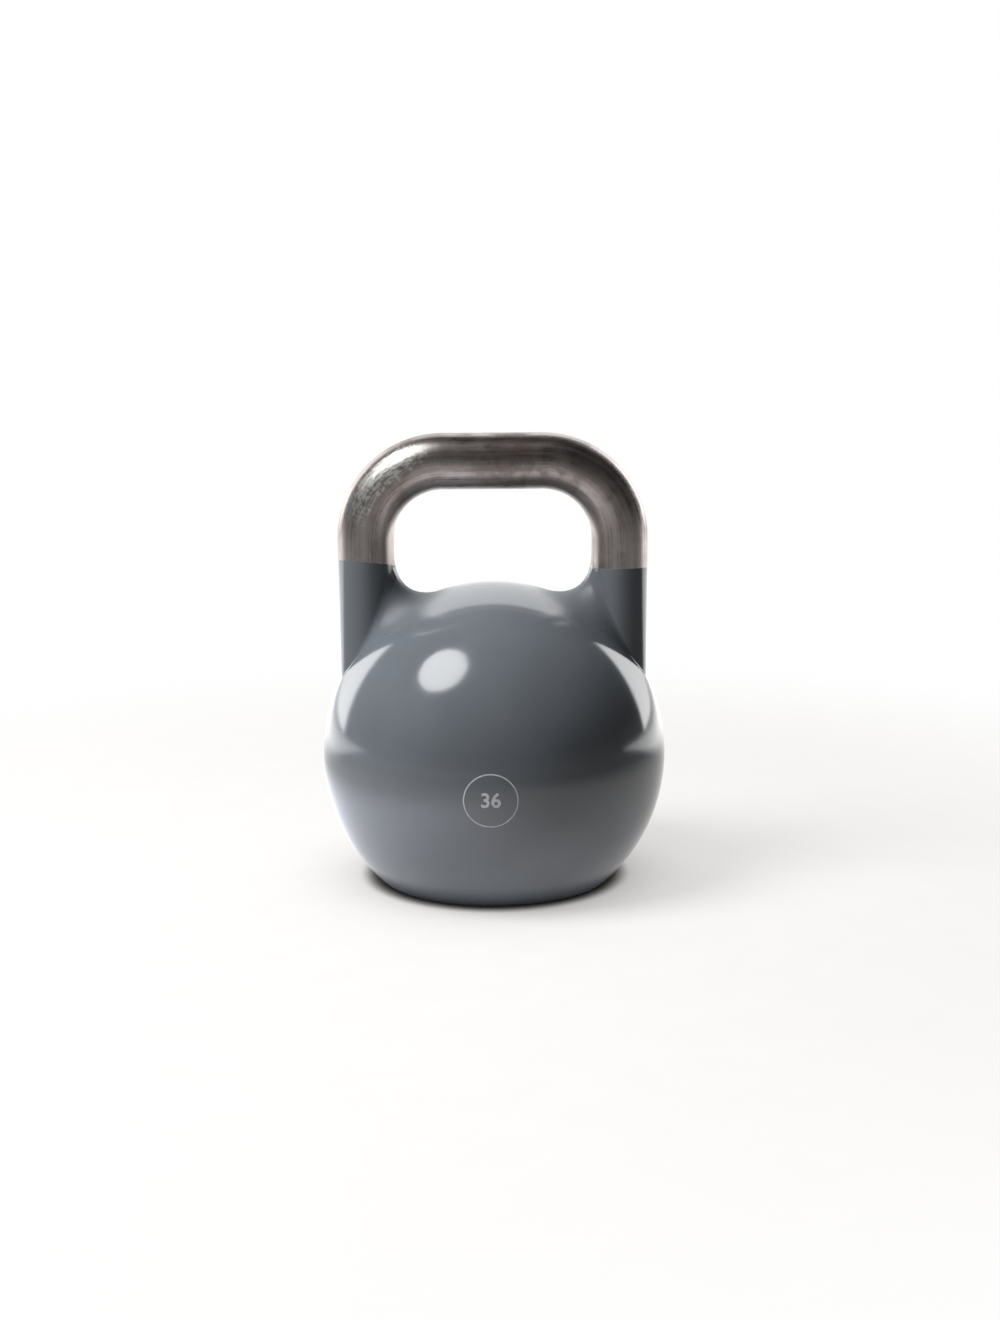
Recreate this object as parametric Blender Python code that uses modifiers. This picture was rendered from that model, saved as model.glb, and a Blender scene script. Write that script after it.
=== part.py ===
"""Competition kettlebell in metres, +Z up, with its origin at the centre of the flat foot.

A thick painted steel ball carries two flared horns, welded on. A bent round bar is doweled and
welded onto the horns as the grip. Ballast is potted in the ball's hollow, which a plug closes.
"""

import math

import bmesh
import bpy

# Driving dimensions of the outside
BALL_DIAMETER = 0.210
FOOT_DIAMETER = 0.142
FOOT_EDGE_RADIUS = 0.0015
WINDOW_HEIGHT = 0.0576  # from the top of the ball to the underside of the grip
GRIP_DIAMETER = 0.034
BEND_RADIUS = 0.047  # of the grip's centreline at each corner
HORN_INSET = 0.011  # from the widest part of the ball in to the outer face of the handle
LEG_LENGTH = 0.007  # straight length of each leg of the bar, between its bend and the joint
FLARE_DROP = 0.027  # height of the elliptical flare that widens each horn towards the ball
FLARE_REACH = 0.020  # how far that flare reaches inwards
FLARE_END_DEGREES = 72  # where the flare stops, so that it meets the ball at a clear angle
HORN_ROOT = 0.007  # how far the horn is drawn down into the ball before it is trimmed to it

# Joint between each horn and the grip bar
DOWEL_DIAMETER = 0.012
DOWEL_LENGTH = 0.040
DOWEL_CHAMFER = 0.001
WELD_HEIGHT = 0.007
WELD_DEPTH = 0.0045

# Hollow, ballast and base
WALL_THICKNESS = 0.056
SLUG_DIAMETER = 0.048
SLUG_LENGTH = 0.100
SLUG_CHAMFER = 0.0015
PACKING_THICKNESS = 0.006
PLUG_DIAMETER = 0.068
PLUG_THICKNESS = 0.010
PLUG_RECESS = 0.0006
PLUG_CHAMFER = 0.001
SEAT_WIDTH = 0.006  # shoulder that the plug's gasket seals against
GASKET_THICKNESS = 0.002
SCREW_DIAMETER = 0.006
SCREW_LENGTH = 0.007
SCREW_SOCKET_DIAMETER = 0.003
SCREW_SOCKET_DEPTH = 0.0025

GAP = 0.0003  # between pieces that touch on the real object
CUT_MARGIN = 0.002  # how far a cutter runs past the face that it opens

# Smoothness
TURNED_STEPS = 48
SMALL_STEPS = 24
HOLLOW_SEGMENTS = 20
UPPER_BALL_SEGMENTS = 10
LOWER_BALL_SEGMENTS = 5
FOOT_EDGE_SEGMENTS = 4
TRIM_STEPS = 96  # the ball that trims the horns is finer, so that they follow it closely
TRIM_SEGMENTS = 40
BEND_SEGMENTS = 12
BAR_BEVEL_RESOLUTION = 10
FLARE_SEGMENTS = 8
MERGE_DISTANCE = 0.00005
SHARP_DEGREES = 40

# Sizes that follow from those above
BALL_RADIUS = BALL_DIAMETER / 2
FOOT_RADIUS = FOOT_DIAMETER / 2
BALL_CENTRE_Z = math.sqrt(BALL_RADIUS**2 - FOOT_RADIUS**2)
BALL_TOP_Z = BALL_CENTRE_Z + BALL_RADIUS
GRIP_RADIUS = GRIP_DIAMETER / 2
HANDLE_SIDE_X = BALL_RADIUS - HORN_INSET
LEG_X = HANDLE_SIDE_X - GRIP_RADIUS
GRIP_Z = BALL_TOP_Z + WINDOW_HEIGHT + GRIP_RADIUS
JOINT_Z = GRIP_Z - BEND_RADIUS - LEG_LENGTH
CAVITY_RADIUS = BALL_RADIUS - WALL_THICKNESS
PLUG_RADIUS = PLUG_DIAMETER / 2
NECK_RADIUS = PLUG_RADIUS + GAP - SEAT_WIDTH
PLUG_TOP_Z = PLUG_RECESS + PLUG_THICKNESS
SHOULDER_Z = PLUG_TOP_Z + GASKET_THICKNESS + 2 * GAP
PACKING_Z = PLUG_TOP_Z + GAP
FILL_Z = PACKING_Z + PACKING_THICKNESS + GAP
SLUG_RADIUS = SLUG_DIAMETER / 2

SIDES = {"left": -1, "right": 1}
SCREW_PLACES = {"front": -1, "back": 1}


def clear_scene():
    for obj in list(bpy.data.objects):
        bpy.data.objects.remove(obj)


def make_collection(name, parent, *members):
    """A collection inside its parent, which also holds the member collections."""
    collection = bpy.data.collections.new(name)
    parent.children.link(collection)
    for member in members:
        collection.children.link(member)
    return collection


def make_material(name, colour, roughness, metallic):
    material = bpy.data.materials.new(name)
    material.use_nodes = True
    shader = material.node_tree.nodes["Principled BSDF"]
    shader.inputs["Base Color"].default_value = (*colour, 1)
    shader.inputs["Roughness"].default_value = roughness
    shader.inputs["Metallic"].default_value = metallic
    material.diffuse_color = (*colour, 1)
    return material


def add_object(name, data, collection, material=None):
    obj = bpy.data.objects.new(name, data)
    collection.objects.link(obj)
    if material:
        data.materials.append(material)
    return obj


def hide_cutters(collection):
    collection.hide_render = True
    for obj in collection.all_objects:
        obj.hide_render = True
        obj.display_type = "WIRE"


def arc(centre_x, centre_z, radius, start, end, segments):
    """Points of an arc in the profile plane, with both angles in degrees from +X."""
    points = []
    for step in range(segments + 1):
        angle = math.radians(start + (end - start) * step / segments)
        points.append((centre_x + radius * math.cos(angle), centre_z + radius * math.sin(angle)))
    return points


def turned(name, profile, steps, collection, material=None):
    """A solid of revolution about Z, from a profile that runs down its outer side."""
    mesh = bpy.data.meshes.new(name)
    shape = bmesh.new()
    ring = [shape.verts.new((x, 0, z)) for x, z in profile]
    for first, second in zip(ring, ring[1:]):
        shape.edges.new((first, second))
    if profile[0][0] > MERGE_DISTANCE:
        shape.edges.new((ring[-1], ring[0]))
    shape.to_mesh(mesh)
    shape.free()
    obj = add_object(name, mesh, collection, material)
    screw = obj.modifiers.new("turn", "SCREW")
    screw.steps = steps
    screw.render_steps = steps
    screw.use_merge_vertices = True
    screw.merge_threshold = MERGE_DISTANCE
    screw.use_smooth_shade = True
    return obj


def cut(target, tools):
    """Cuts a whole collection of tools from the target in one Boolean."""
    boolean = target.modifiers.new(tools.name, "BOOLEAN")
    boolean.operation = "DIFFERENCE"
    boolean.operand_type = "COLLECTION"
    boolean.collection = tools


def cylinder_profile(radius, bottom, top, chamfer=0.0):
    if not chamfer:
        return [(0, top), (radius, top), (radius, bottom), (0, bottom)]
    return [
        (0, top),
        (radius - chamfer, top),
        (radius, top - chamfer),
        (radius, bottom + chamfer),
        (radius - chamfer, bottom),
        (0, bottom),
    ]


def ball_profile():
    """The solid ball with its flat foot and the small round at the foot's edge."""
    edge_x = math.sqrt(
        (BALL_RADIUS - FOOT_EDGE_RADIUS) ** 2 - (BALL_CENTRE_Z - FOOT_EDGE_RADIUS) ** 2
    )
    edge_angle = math.degrees(math.atan2(FOOT_EDGE_RADIUS - BALL_CENTRE_Z, edge_x))
    side = arc(0, BALL_CENTRE_Z, BALL_RADIUS, 90, 0, UPPER_BALL_SEGMENTS)
    side += arc(0, BALL_CENTRE_Z, BALL_RADIUS, 0, edge_angle, LOWER_BALL_SEGMENTS)[1:]
    edge = arc(
        edge_x, FOOT_EDGE_RADIUS, FOOT_EDGE_RADIUS, edge_angle, -90, FOOT_EDGE_SEGMENTS
    )
    return [(0, BALL_TOP_Z)] + side[1:] + edge[1:] + [(0, 0)]


def hollow_profile(clearance):
    """The round hollow and its neck, drawn in by a clearance, down to the neck's foot."""
    radius = CAVITY_RADIUS - clearance
    neck = NECK_RADIUS - clearance
    neck_angle = math.degrees(-math.acos(neck / radius))
    round_part = arc(0, BALL_CENTRE_Z, radius, 90, neck_angle, HOLLOW_SEGMENTS)
    return [(0, BALL_CENTRE_Z + radius)] + round_part[1:]


def horn_mesh(name, side):
    """Level circles that share the handle's outer face and widen inwards down to the ball."""
    root_z = BALL_CENTRE_Z + math.sqrt(BALL_RADIUS**2 - HANDLE_SIDE_X**2) - HORN_ROOT
    levels = []
    for step in range(FLARE_SEGMENTS + 1):
        turn = math.radians(FLARE_END_DEGREES) * step / FLARE_SEGMENTS
        radius = GRIP_RADIUS + FLARE_REACH * (1 - math.cos(turn)) / 2
        levels.append((JOINT_Z - FLARE_DROP * math.sin(turn), radius))
    levels.append((root_z, levels[-1][1]))
    shape = bmesh.new()
    rings = []
    for height, radius in levels:
        ring = []
        for step in range(SMALL_STEPS):
            angle = 2 * math.pi * step / SMALL_STEPS
            x = side * (HANDLE_SIDE_X - radius) + radius * math.cos(angle)
            ring.append(shape.verts.new((x, radius * math.sin(angle), height)))
        rings.append(ring)
    shape.faces.new(rings[0])
    shape.faces.new(rings[-1][::-1])
    for upper, lower in zip(rings, rings[1:]):
        for step in range(SMALL_STEPS):
            after = (step + 1) % SMALL_STEPS
            shape.faces.new((upper[step], lower[step], lower[after], upper[after]))
    mesh = bpy.data.meshes.new(name)
    shape.to_mesh(mesh)
    shape.free()
    mesh.shade_smooth()
    return mesh


def grip_path():
    """The bar's centreline from the left joint, up, across and down to the right joint."""
    corner_x = LEG_X - BEND_RADIUS
    corner_z = GRIP_Z - BEND_RADIUS
    foot_z = JOINT_Z + GAP
    right = arc(corner_x, corner_z, BEND_RADIUS, 90, 0, BEND_SEGMENTS) + [(LEG_X, foot_z)]
    left = [(-x, z) for x, z in reversed(right)]
    return left + right


def make_grip_bar(collection, material):
    curve = bpy.data.curves.new("grip_path", "CURVE")
    curve.dimensions = "3D"
    curve.bevel_depth = GRIP_RADIUS
    curve.bevel_resolution = BAR_BEVEL_RESOLUTION
    curve.use_fill_caps = True
    spline = curve.splines.new("POLY")
    path = grip_path()
    spline.points.add(len(path) - 1)
    for point, (x, z) in zip(spline.points, path):
        point.co = (x, 0, z, 1)
    guide = add_object("grip_path", curve, collection)
    bpy.context.view_layer.update()
    graph = bpy.context.evaluated_depsgraph_get()
    mesh = bpy.data.meshes.new_from_object(guide.evaluated_get(graph))
    shape = bmesh.new()
    shape.from_mesh(mesh)
    bmesh.ops.remove_doubles(shape, verts=shape.verts, dist=MERGE_DISTANCE)
    shape.to_mesh(mesh)
    shape.free()
    mesh.name = "handle_bar"
    bar = add_object("handle_bar", mesh, collection, material)
    bar.matrix_world = guide.matrix_world.copy()
    bpy.data.objects.remove(guide)
    mesh.shade_smooth()
    mesh.set_sharp_from_angle(angle=math.radians(SHARP_DEGREES))
    return bar


def make_ball_shell(parts, shell_cutters, material):
    """The ball, with its hollow, its neck and the plug's seat cut out."""
    seat_radius = PLUG_RADIUS + GAP
    profile = hollow_profile(0) + [
        (NECK_RADIUS, SHOULDER_Z),
        (seat_radius, SHOULDER_Z),
        (seat_radius, -CUT_MARGIN),
        (0, -CUT_MARGIN),
    ]
    turned("hollow", profile, TURNED_STEPS, shell_cutters)
    shell = turned("ball_shell", ball_profile(), TURNED_STEPS, parts, material)
    cut(shell, shell_cutters)


def make_horns(parts, horn_cutters, material):
    """Both horns, trimmed to the ball's surface and cut for their joints."""
    radius = BALL_RADIUS + GAP
    clearance = arc(0, BALL_CENTRE_Z, radius, 90, -90, TRIM_SEGMENTS)
    clearance[0] = (0, BALL_CENTRE_Z + radius)
    clearance[-1] = (0, BALL_CENTRE_Z - radius)
    turned("ball_clearance", clearance, TRIM_STEPS, horn_cutters)
    for name, side in SIDES.items():
        horn = add_object(f"horn_{name}", horn_mesh(f"horn_{name}", side), parts, material)
        cut(horn, horn_cutters)


def make_joint(name, side, parts, joint_cutters, steel, weld):
    """A dowel down the middle of the joint and a weld ring, ground flush, around it."""
    centre = (side * LEG_X, 0, JOINT_Z + GAP / 2)
    half_length = DOWEL_LENGTH / 2
    dowel_radius = DOWEL_DIAMETER / 2
    profile = cylinder_profile(dowel_radius, -half_length, half_length, DOWEL_CHAMFER)
    dowel = turned(f"dowel_{name}", profile, SMALL_STEPS, parts, steel)
    reach = half_length + GAP
    bore = turned(
        f"dowel_bore_{name}",
        cylinder_profile(dowel_radius + GAP, -reach, reach),
        SMALL_STEPS,
        joint_cutters,
    )
    half_weld = WELD_HEIGHT / 2
    root = GRIP_RADIUS - WELD_DEPTH
    ring = [(GRIP_RADIUS, half_weld), (GRIP_RADIUS, -half_weld), (root, 0)]
    weld_ring = turned(f"weld_ring_{name}", ring, SMALL_STEPS, parts, weld)
    slope = half_weld / WELD_DEPTH
    lift = GAP * math.hypot(1, slope)
    past = GRIP_RADIUS + CUT_MARGIN
    open_height = half_weld + lift + slope * CUT_MARGIN
    groove = [(past, open_height), (past, -open_height), (root - lift / slope, 0)]
    groove_cutter = turned(f"weld_groove_{name}", groove, SMALL_STEPS, joint_cutters)
    for obj in (dowel, bore, weld_ring, groove_cutter):
        obj.location = centre


def make_fill(parts, slug_material, resin_material, rubber):
    """The ballast slug, the resin potted round it and the packing disc below them."""
    slug_top = FILL_Z + SLUG_LENGTH
    slug = cylinder_profile(SLUG_RADIUS, FILL_Z, slug_top, SLUG_CHAMFER)
    turned("ballast_slug", slug, TURNED_STEPS, parts, slug_material)
    bore = SLUG_RADIUS + GAP
    resin = hollow_profile(GAP) + [
        (NECK_RADIUS - GAP, FILL_Z),
        (bore, FILL_Z),
        (bore, slug_top + GAP),
        (0, slug_top + GAP),
    ]
    turned("potting_resin", resin, TURNED_STEPS, parts, resin_material)
    disc = cylinder_profile(NECK_RADIUS - GAP, PACKING_Z, PACKING_Z + PACKING_THICKNESS)
    turned("packing_disc", disc, SMALL_STEPS, parts, rubber)


def make_base(parts, screw_holes, steel, screw_material, rubber):
    """The plug, its gasket and the two grub screws that lock its seam."""
    profile = cylinder_profile(PLUG_RADIUS, PLUG_RECESS, PLUG_TOP_Z, PLUG_CHAMFER)
    plug = turned("base_plug", profile, TURNED_STEPS, parts, steel)
    top = PACKING_Z + GASKET_THICKNESS
    ring = [(PLUG_RADIUS, top), (PLUG_RADIUS, PACKING_Z), (NECK_RADIUS, PACKING_Z), (NECK_RADIUS, top)]
    turned("plug_gasket", ring, TURNED_STEPS, parts, rubber)
    radius = SCREW_DIAMETER / 2
    socket = SCREW_SOCKET_DIAMETER / 2
    screw = [
        (0, SCREW_LENGTH),
        (radius, SCREW_LENGTH),
        (radius, 0),
        (socket, 0),
        (socket, SCREW_SOCKET_DEPTH),
        (0, SCREW_SOCKET_DEPTH),
    ]
    hole_profile = cylinder_profile(radius + GAP, -CUT_MARGIN, SCREW_LENGTH + GAP)
    for name, side in SCREW_PLACES.items():
        place = (0, side * (PLUG_RADIUS + GAP / 2), PLUG_RECESS)
        turned(f"seam_screw_{name}", screw, SMALL_STEPS, parts, screw_material).location = place
        turned(f"screw_hole_{name}", hole_profile, SMALL_STEPS, screw_holes).location = place
    cut(plug, screw_holes)


def main():
    clear_scene()
    scene_collection = bpy.context.scene.collection
    parts = make_collection("kettlebell", scene_collection)
    cutters = make_collection("cutters", scene_collection)
    joint_cutters = make_collection("joint_cutters", cutters)
    screw_holes = make_collection("screw_holes", cutters)
    horn_cutters = make_collection("horn_cutters", cutters, joint_cutters)
    shell_cutters = make_collection("shell_cutters", cutters, screw_holes)

    paint = make_material("blue grey paint", (0.17, 0.19, 0.22), 0.22, 0.0)
    bare_steel = make_material("bare bar steel", (0.36, 0.32, 0.31), 0.33, 1.0)
    weld_metal = make_material("ground weld", (0.40, 0.36, 0.34), 0.35, 1.0)
    turned_steel = make_material("turned steel", (0.45, 0.45, 0.46), 0.35, 1.0)
    black_screw = make_material("blackened screw", (0.05, 0.05, 0.055), 0.5, 1.0)
    iron = make_material("cast iron", (0.14, 0.13, 0.13), 0.7, 1.0)
    resin = make_material("amber resin", (0.35, 0.20, 0.07), 0.4, 0.0)
    rubber = make_material("black rubber", (0.02, 0.02, 0.02), 0.8, 0.0)

    make_ball_shell(parts, shell_cutters, paint)
    make_horns(parts, horn_cutters, paint)
    bar = make_grip_bar(parts, bare_steel)
    for name, side in SIDES.items():
        make_joint(name, side, parts, joint_cutters, turned_steel, weld_metal)
    cut(bar, joint_cutters)
    make_fill(parts, iron, resin, rubber)
    make_base(parts, screw_holes, turned_steel, black_screw, rubber)
    hide_cutters(cutters)


main()
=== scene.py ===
"""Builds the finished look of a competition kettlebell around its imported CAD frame.

Every length is in metres, in the frame of the CAD: +Z up, the foot's centre at the origin.
"""

import math

import bmesh
import bpy
from bpy.props import FloatProperty, FloatVectorProperty, PointerProperty, StringProperty
from mathutils import Matrix, Vector


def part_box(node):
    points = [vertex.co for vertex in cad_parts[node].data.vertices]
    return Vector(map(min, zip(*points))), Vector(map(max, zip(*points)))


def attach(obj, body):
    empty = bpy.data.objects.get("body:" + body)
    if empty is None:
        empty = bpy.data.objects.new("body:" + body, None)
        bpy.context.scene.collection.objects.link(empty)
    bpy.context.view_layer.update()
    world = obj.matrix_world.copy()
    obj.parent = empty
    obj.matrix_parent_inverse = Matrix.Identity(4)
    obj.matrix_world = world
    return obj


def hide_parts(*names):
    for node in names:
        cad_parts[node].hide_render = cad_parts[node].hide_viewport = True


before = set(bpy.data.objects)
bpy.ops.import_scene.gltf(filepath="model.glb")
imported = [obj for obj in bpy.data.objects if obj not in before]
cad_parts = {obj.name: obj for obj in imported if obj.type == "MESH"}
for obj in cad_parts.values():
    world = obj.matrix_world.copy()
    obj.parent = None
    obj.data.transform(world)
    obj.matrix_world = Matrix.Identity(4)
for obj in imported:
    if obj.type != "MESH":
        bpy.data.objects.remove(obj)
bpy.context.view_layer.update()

bl_info = {
    "name": "Competition Kettlebell",
    "version": (1, 0, 0),
    "blender": (4, 5, 0),
    "location": "3D View > Sidebar > Kettlebell",
    "description": "Models and finishes a competition kettlebell around its CAD frame",
    "category": "Add Mesh",
}

BODY = "root"
SIDES = {"left": -1, "right": 1}

# Sizes read from the CAD frame
SHELL_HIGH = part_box("ball_shell")[1]
BAR_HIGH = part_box("handle_bar")[1]
RING_LOW, RING_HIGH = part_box("weld_ring_right")
DOWEL_LOW, DOWEL_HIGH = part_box("dowel_right")
PLUG_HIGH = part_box("base_plug")[1]
DISC_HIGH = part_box("packing_disc")[1]
GASKET_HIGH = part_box("plug_gasket")[1]
RESIN_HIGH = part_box("potting_resin")[1]
GAP = 0.0003  # between pieces that touch


# ---------------------------------------------------------------- settings


class BallSettings(bpy.types.PropertyGroup):
    radius: FloatProperty(
        name="Ball Radius",
        description="Radius of the painted ball",
        default=SHELL_HIGH.x,
        unit="LENGTH",
    )
    centre_height: FloatProperty(
        name="Centre Height",
        description="Height of the ball's centre above the floor",
        default=SHELL_HIGH.z - SHELL_HIGH.x,
        unit="LENGTH",
    )
    foot_edge: FloatProperty(
        name="Foot Edge Radius",
        description="Small round between the ball and its flat foot",
        default=0.0016,
        unit="LENGTH",
    )
    inner_fillet: FloatProperty(
        name="Inner Fillet",
        description="Fillet between a horn and the ball on the side of the hand window",
        default=0.0245,
        unit="LENGTH",
    )
    outer_fillet: FloatProperty(
        name="Outer Fillet",
        description="Fillet between a horn and the ball on the outer side",
        default=0.0025,
        unit="LENGTH",
    )
    paint_colour: FloatVectorProperty(
        name="Paint Colour",
        description="Colour of the gloss paint",
        subtype="COLOR",
        default=(0.104, 0.115, 0.129),
        min=0,
        max=1,
    )


class GripSettings(bpy.types.PropertyGroup):
    radius: FloatProperty(
        name="Bar Radius",
        description="Radius of the round grip bar",
        default=BAR_HIGH.y,
        unit="LENGTH",
    )
    leg_x: FloatProperty(
        name="Leg Position",
        description="Distance of each leg's axis from the middle",
        default=(RING_LOW.x + RING_HIGH.x) / 2,
        unit="LENGTH",
    )
    bend_radius: FloatProperty(
        name="Bend Radius",
        description="Radius of the bar's centreline at each corner",
        default=0.047,
        unit="LENGTH",
    )
    joint_height: FloatProperty(
        name="Joint Height",
        description="Height at which the bar meets the horns",
        default=(RING_LOW.z + RING_HIGH.z) / 2,
        unit="LENGTH",
    )
    steel_colour: FloatVectorProperty(
        name="Steel Colour",
        description="Colour of the bare, handled steel",
        subtype="COLOR",
        default=(0.43, 0.39, 0.375),
        min=0,
        max=1,
    )


class PaintLineSettings(bpy.types.PropertyGroup):
    left_height: FloatProperty(
        name="Left Line Height",
        description="Height of the masked paint edge on the left leg's axis",
        default=0.1955,
        unit="LENGTH",
    )
    right_height: FloatProperty(
        name="Right Line Height",
        description="Height of the masked paint edge on the right leg's axis",
        default=0.1916,
        unit="LENGTH",
    )
    left_slope: FloatVectorProperty(
        name="Left Line Slope",
        description="Rise of the left edge outwards and towards the front",
        default=(0.10, 0.15),
        size=2,
    )
    right_slope: FloatVectorProperty(
        name="Right Line Slope",
        description="Rise of the right edge outwards and towards the front",
        default=(0.01, 0.07),
        size=2,
    )


class MarkSettings(bpy.types.PropertyGroup):
    text: StringProperty(name="Weight", description="Weight class in kilograms", default="36")
    height: FloatProperty(
        name="Numeral Height",
        description="Height of the printed type",
        default=0.0120,
        unit="LENGTH",
    )
    ring_radius: FloatProperty(
        name="Ring Radius",
        description="Radius of the printed ring round the numerals",
        default=0.0160,
        unit="LENGTH",
    )
    line_width: FloatProperty(
        name="Line Width",
        description="Width of the ring's printed line",
        default=0.0007,
        unit="LENGTH",
    )


class StudioSettings(bpy.types.PropertyGroup):
    camera_height: FloatProperty(
        name="Camera Height",
        description="Height of the camera above the floor",
        default=0.3887,
        unit="LENGTH",
    )
    camera_distance: FloatProperty(
        name="Camera Distance",
        description="Level distance from the camera to the kettlebell's axis",
        default=1.2622,
        unit="LENGTH",
    )
    camera_pitch: FloatProperty(
        name="Camera Pitch",
        description="How far the camera looks down",
        default=math.radians(11.38),
        subtype="ANGLE",
    )
    camera_lens: FloatProperty(
        name="Camera Lens",
        description="Focal length of the camera in millimetres",
        default=57.23,
    )


PROPERTY_GROUPS = {
    "kettlebell_ball": BallSettings,
    "kettlebell_grip": GripSettings,
    "kettlebell_paint_line": PaintLineSettings,
    "kettlebell_mark": MarkSettings,
    "kettlebell_studio": StudioSettings,
}


# ---------------------------------------------------------------- mesh work


def deselect_all():
    if bpy.context.mode != "OBJECT":
        bpy.ops.object.mode_set(mode="OBJECT")
    bpy.ops.object.select_all(action="DESELECT")


def start_piece(name):
    """Names the primitive that was just added and opens it for editing with nothing selected."""
    piece = bpy.context.object
    piece.name = name
    piece.data.name = name
    bpy.ops.object.transform_apply(location=True, rotation=True, scale=True)
    bpy.ops.object.mode_set(mode="EDIT")
    bpy.ops.mesh.select_all(action="DESELECT")
    return piece


def select_edges(piece, wanted):
    """Selects the edges for which wanted(edge) holds, and nothing else."""
    bpy.ops.mesh.select_mode(type="EDGE")
    bpy.ops.mesh.select_all(action="DESELECT")
    shape = bmesh.from_edit_mesh(piece.data)
    for edge in shape.edges:
        if wanted(edge):
            edge.select_set(True)
    shape.select_flush(True)
    bmesh.update_edit_mesh(piece.data)


def place_selected(piece, place):
    """Moves each selected point to place(point)."""
    shape = bmesh.from_edit_mesh(piece.data)
    for vert in shape.verts:
        if vert.select:
            vert.co = place(vert.co.copy())
    bmesh.update_edit_mesh(piece.data)


def extrude_ring(piece, place):
    """Extrudes the selected open loop and places its new points."""
    bpy.ops.mesh.extrude_edges_move()
    place_selected(piece, place)


def turned_point(radius, height, axis=Vector((0, 0, 0))):
    """A placing function that keeps a point's angle about an upright axis and sets the rest."""

    def place(point):
        offset = point - axis
        level = Vector((offset.x, offset.y, 0)).normalized() * radius
        return Vector((level.x, level.y, height)) + axis

    return place


def start_disc(name, segments, radius, location):
    """Starts a round piece from a flat disc, with its rim selected."""
    bpy.ops.mesh.primitive_circle_add(vertices=segments, radius=radius, location=location)
    piece = start_piece(name)
    bpy.ops.mesh.select_all(action="SELECT")
    bpy.ops.mesh.edge_face_add()
    select_edges(piece, lambda edge: edge.is_boundary)
    return piece


def extrude_profile(piece, profile):
    for radius, height in profile:
        extrude_ring(piece, turned_point(radius, height))


def arc_points(centre_x, centre_z, radius, start, end, steps):
    """Points of an arc after its first, with angles in degrees from +X."""
    points = []
    for step in range(1, steps + 1):
        angle = math.radians(start + (end - start) * step / steps)
        points.append((centre_x + radius * math.cos(angle), centre_z + radius * math.sin(angle)))
    return points


def finish_piece(piece, sharp_angle=35):
    """Closes the edit, turns the faces outwards and shades the piece smooth."""
    bpy.ops.object.mode_set(mode="EDIT")
    bpy.ops.mesh.select_all(action="SELECT")
    bpy.ops.mesh.remove_doubles(threshold=1e-6)
    bpy.ops.mesh.normals_make_consistent(inside=False)
    bpy.ops.object.mode_set(mode="OBJECT")
    bpy.ops.object.shade_smooth_by_angle(angle=math.radians(sharp_angle))


def hand_over(piece, material, replaced=()):
    """Gives a finished piece its material, its body and the nodes it stands for."""
    if material:
        piece.data.materials.clear()
        piece.data.materials.append(material)
    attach(piece, BODY)
    if replaced:
        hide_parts(*replaced)


# ---------------------------------------------------------------- the ball and its horns

STRAIGHT_BAR = "straight_bar"
BALL_SEGMENTS = 256
BALL_RINGS = 160
HOLLOW_STEPS = 28  # rings of the hollow, to just short of its top
HOLLOW_END = 89
FOOT_STEPS = 6
FOOT_RIM = 0.012  # width of the foot's flat ring beside its edge
SEAT_BEVEL = 0.0008
ON_BALL = 0.00005  # how near to the ball's surface a point counts as on it
SLIVER_WIDTH = 0.0007  # faces narrower than this beside a cut are merged away
HORN_SEGMENTS = 192
END_RIM = 0.0005  # width of the narrow rings at the edges of the joint's faces
STRAIGHT_RINGS = 12
FILLET_RINGS = 26
FILLET_TIGHTNESS = 1.5  # one gives a circular fillet
FILLET_GROWTH = 1.5  # how late the fillet grows on its way round to the window
APRON_RINGS = 12
APRON_TILT = math.radians(47.5)  # between upright and the line from the ball's centre to the apron
APRON_ANGLE = math.radians(33)  # half-angle of the part of the ball round each horn
APRON_GAP = math.radians(0.9)  # between that part and the rest of the ball, which a bridge closes


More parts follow.
